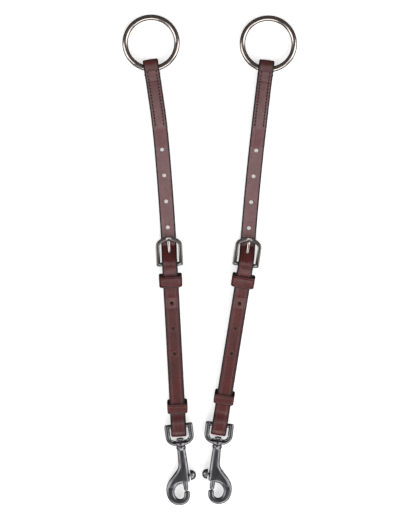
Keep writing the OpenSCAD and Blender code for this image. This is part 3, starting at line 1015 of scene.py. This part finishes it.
# the outline of the solid metal between the body and the bowl's root, clockwise: (x, -a)
WEB = [
    (3.1, -23), (3.4, -30), (3.6, -46.4), (0, -47.2), (-3, -47.9), (-5.8, -48.1),
    (-8.4, -49.2), (-10.0, -50.8), (-12.6, -51.6), (-14.9, -50.6), (-14.7, -48.0), (-13.3, -45.0),
    (-11.0, -42.3), (-8.6, -39.7), (-6.2, -37.0), (-4.4, -34.2), (-3.5, -30), (-3.1, -23),
]

# the hook's body from the neck down: (a, half width, half thickness)
BARREL = [
    (20, 3.40, 3.10),
    (27, 3.72, 3.30),
    (34, 3.92, 3.32),
    (44, 3.98, 3.25),
    (46.2, 3.9, 3.2),
    (46.8, 3.65, 3.1),
    (BODY_END, 3.1, 2.8),
]

# the collar between the eye and the body, turned: (a, radius)
COLLAR = [(16.8, 3.2), (17.0, 3.7), (17.6, 4.0), (18.6, 4.0), (19.3, 3.6), (20.4, 3.25), (22.5, 3.15)]


def plate(outline, half, bevel):
    """A flat plate with rounded edges, its outline given clockwise."""
    points = np.array(outline, float)
    edge = np.roll(points, -1, 0) - points
    edge /= np.linalg.norm(edge, axis=1)[:, None]
    normal = np.stack((edge[:, 1], -edge[:, 0]), 1)
    normal = normal + np.roll(normal, 1, 0)
    normal /= np.linalg.norm(normal, axis=1)[:, None]
    rings = []
    for t in (-90, -60, -30, 0, 1, 30, 60, 90):
        z = math.copysign(half - bevel, t - 0.5) + bevel * sin(t)
        inner = points + normal * bevel * (1 - cos(t))
        rings.append([(x, y, z) for x, y in inner][::-1])
    return tube(rings)


def curve_through(points, steps):
    """A Catmull-Rom curve through rows of numbers."""
    rows = np.array([points[0], *points, points[-1]], float)
    out = []
    for i in range(1, len(rows) - 2):
        p0, p1, p2, p3 = rows[i - 1:i + 3]
        for k in range(steps):
            t = k / steps
            square = (2 * p0 - 5 * p1 + 4 * p2 - p3) * t * t
            cube = (3 * p1 - p0 - 3 * p2 + p3) * t ** 3
            out.append(0.5 * (2 * p1 + (p2 - p0) * t + square + cube))
    return out + [rows[-2]]


def stem_slit(place):
    """The slit in the body that the knob's stem runs in."""
    r = KNOB_STEM_R + 0.15
    rings = []
    for x in (1.2, 6.0):
        ring = []
        for t in np.arange(5, 360, 15):
            far = BOLT_TRAVEL if t <= 180 else 0
            ring.append((x, -KNOB_A + far + r * sin(t), r * cos(t)))
        rings.append(ring)
    return new_mesh("slit", *tube(rings), place)


def make_hook(side):
    """The hook: hollow body, shoulder and bowl, cast in one and ground smooth."""
    place = on_snap(side)
    rows = curve_through(HOOK, 5)
    line = [(x, -a) for a, x, _, _ in rows]
    bowl = new_mesh("bowl", *flat_sweep(line, [(w, t) for _, _, w, t in rows], 3.1, 28), place)
    collar = new_mesh("collar", *lathe(COLLAR, 40), place)
    line = [(0, -a) for a, _, _ in BARREL]
    body = new_mesh("body", *flat_sweep(line, [(w, t) for _, w, t in BARREL], 2.8, 32), place)
    web = new_mesh("web", *plate(WEB, 3.2, 2.4), place)
    obj = fused(side + "_snap_hook_casting", [bowl, collar, body, web], VOXEL, 12)
    bore = new_mesh("bore", *lathe([(BORE_FROM, BORE_R), (BODY_END + 1.5, BORE_R)], 32), place)
    shank_r = SHANK_R + 0.01
    swivel_bore = new_mesh("swivel_bore", *lathe([(15, shank_r), (22.5, shank_r)], 32), place)
    cut(obj, [bore, stem_slit(place), swivel_bore])
    obj.data.set_sharp_from_angle(angle=math.radians(50))
    obj.data.materials.clear()
    obj.data.materials.append(DARK)
    finish_piece(obj, side + "_hook", side + "_snap_hook")


def make_bolt(side):
    """The sliding bolt, tapered towards its tip."""
    profile = [(BOLT_FROM, 1.4), (BOLT_FROM + 0.3, 1.98), (49.5, 1.98), (52.6, 1.80)]
    profile += [(53.4, 1.62), (53.9, 1.30), (BOLT_TIP, 0.7)]
    obj = new_mesh(side + "_bolt_metal", *lathe(profile, 40), on_snap(side), sharp=40)
    obj.data.materials.append(DARK)
    finish_piece(obj, side + "_bolt", side + "_snap_bolt")


def make_knob(side):
    """The thumb knob: a thin stem and a mushroom cap with a crisp rim."""
    rim_x, cap_r = 5.7, 4.05
    profile = [(1.0, KNOB_STEM_R), (4.95, KNOB_STEM_R), (4.85, 2.6), (4.95, 4.15), (5.15, 4.38), (5.45, 4.30)]
    profile.append((rim_x, cap_r))
    profile += [(rim_x + 3.85 * sin(t), cap_r * cos(t) + 0.06) for t in range(12, 91, 13)]
    verts, faces = lathe(profile, 48, "X")
    place = on_snap(side) @ Matrix.Translation((0, -KNOB_A, 0))
    obj = new_mesh(side + "_thumb_knob_metal", verts, faces, place, sharp=42)
    obj.data.materials.append(DARK)
    finish_piece(obj, side + "_bolt", side + "_thumb_knob")


def make_spring(side):
    """The spring behind the bolt. It keeps 0.42 of its length when the bolt is drawn back."""
    first, last = BORE_FROM + 0.4, BOLT_FROM - 0.1
    coil_r, coils, steps = 1.6, 7, 20
    rise = last - first - 2 * SPRING_WIRE_R
    rings = []
    for i in range(coils * steps + 1):
        t = 360 * i / steps
        y = -(first + SPRING_WIRE_R + rise * i / (coils * steps))
        ring = []
        for q in range(0, 360, 45):
            out = coil_r + SPRING_WIRE_R * cos(q)
            ring.append((out * cos(t), y + SPRING_WIRE_R * sin(q), out * sin(t)))
        rings.append(ring[::-1])
    place = on_snap(side)
    obj = new_mesh(side + "_spring_coil", *tube(rings), place)
    obj.data.materials.append(STEEL)
    finish_piece(obj, side + "_hook", side + "_bolt_spring")
    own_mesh(obj)


for side in SIDES:
    make_strap(side)
    make_stitching(side)
    make_keepers(side)
    make_ring(side)
    make_buckle_frame(side)
    make_tongue(side)
    make_eye(side)
    make_rivet(side)
    make_hook(side)
    make_bolt(side)
    make_knob(side)
    make_spring(side)


# ---- Stage, lights and camera ----
def make_stage():
    """A plain white floor at the object's lowest height."""
    half = 3000
    corners = [(-half, -half, 0), (half, -half, 0), (half, half, 0), (-half, half, 0)]
    floor = new_mesh("floor", corners, [(0, 1, 2, 3)])
    material, _, shader = principled("floor_white")
    shader.inputs["Base Color"].default_value = (0.93, 0.93, 0.93, 1)
    shader.inputs["Roughness"].default_value = 0.9
    # a floor lit a little from within, so that shadows stay faint
    shader.inputs["Emission Color"].default_value = (1, 1, 1, 1)
    shader.inputs["Emission Strength"].default_value = 0.5
    floor.data.materials.append(material)
    # the metal mirrors the dark lower half of the studio, so that its edges read against the floor
    floor.visible_glossy = False


def area_light(name, place, aim, size, power):
    """A rectangular light of size metres, aimed at a point."""
    data = bpy.data.lights.new(name, "AREA")
    data.shape = "RECTANGLE"
    data.size, data.size_y = size
    data.energy = power
    light = bpy.data.objects.new(name, data)
    light.location = place
    light.rotation_euler = (Vector(aim) - Vector(place)).to_track_quat("-Z", "Y").to_euler()
    bpy.context.scene.collection.objects.link(light)
    return light


def make_world():
    """A studio as the metal sees it: bright low in front, dim low behind, dark overhead and below."""
    world = bpy.data.worlds.new("studio")
    bpy.context.scene.world = world
    world.use_nodes = True
    tree = world.node_tree
    direction = node(tree, "ShaderNodeTexCoord").outputs["Generated"]
    split = node(tree, "ShaderNodeSeparateXYZ")
    tree.links.new(direction, split.inputs["Vector"])
    y, z = split.outputs["Y"], split.outputs["Z"]
    behind, in_front = (0.16, 0.145, 0.14), (0.60, 0.58, 0.565)
    overhead, below = (0.085, 0.08, 0.08), (0.04, 0.037, 0.036)
    low = mixed(tree, spread(tree, y, 0.40, -0.30), behind, in_front)
    sky = mixed(tree, spread(tree, z, 0.46, 0.72), low, overhead)
    sky = mixed(tree, spread(tree, z, 0.02, 0.16), below, sky)
    tree.links.new(sky, tree.nodes["Background"].inputs["Color"])
    tree.nodes["Background"].inputs["Strength"].default_value = 1.0


def make_lights():
    area_light("front_box", (0.35, -1.35, 0.95), (0, -0.05, 0), (2.4, 1.1), 24)
    area_light("right_box", (1.4, 0.1, 0.9), (0, 0, 0), (1.1, 1.9), 18)
    area_light("left_box", (-1.4, 0.0, 1.0), (0, 0, 0), (1.1, 1.9), 16)
    # dim cards over the upper half and for the slopes below the buckles, which only the leather picks up
    cards = [
        area_light("leather_sheen", (0.0, 0.15, 1.25), (0, 0.15, 0), (1.6, 0.22), 6),
        area_light("slope_sheen", (0.0, -0.72, 1.08), (0, 0, 0), (1.6, 0.30), 5),
    ]
    leather = bpy.data.collections.new("leather_only")
    for obj in bpy.context.scene.objects:
        if obj.type == "MESH" and obj.data.materials and obj.data.materials[0] in (LEATHER, FLESH):
            leather.objects.link(obj)
    for card in cards:
        card.visible_camera = False
        card.light_linking.receiver_collection = leather


def make_camera():
    """Straight overhead with a long lens. seen is how tall a field it sees at leather_z, in metres."""
    distance, leather_z, seen, sensor = 1.6, 0.005, 0.4316, 36.0
    middle = (-0.00133, -0.0005)
    data = bpy.data.cameras.new("camera")
    data.sensor_fit = "VERTICAL"
    data.sensor_height = sensor
    data.lens = sensor * (distance - leather_z) / seen
    data.clip_start = 0.01
    camera = bpy.data.objects.new("camera", data)
    camera.location = (*middle, distance)
    bpy.context.scene.collection.objects.link(camera)
    bpy.context.scene.camera = camera


make_stage()
make_world()
make_lights()
make_camera()
bpy.context.scene.view_settings.view_transform = "Standard"
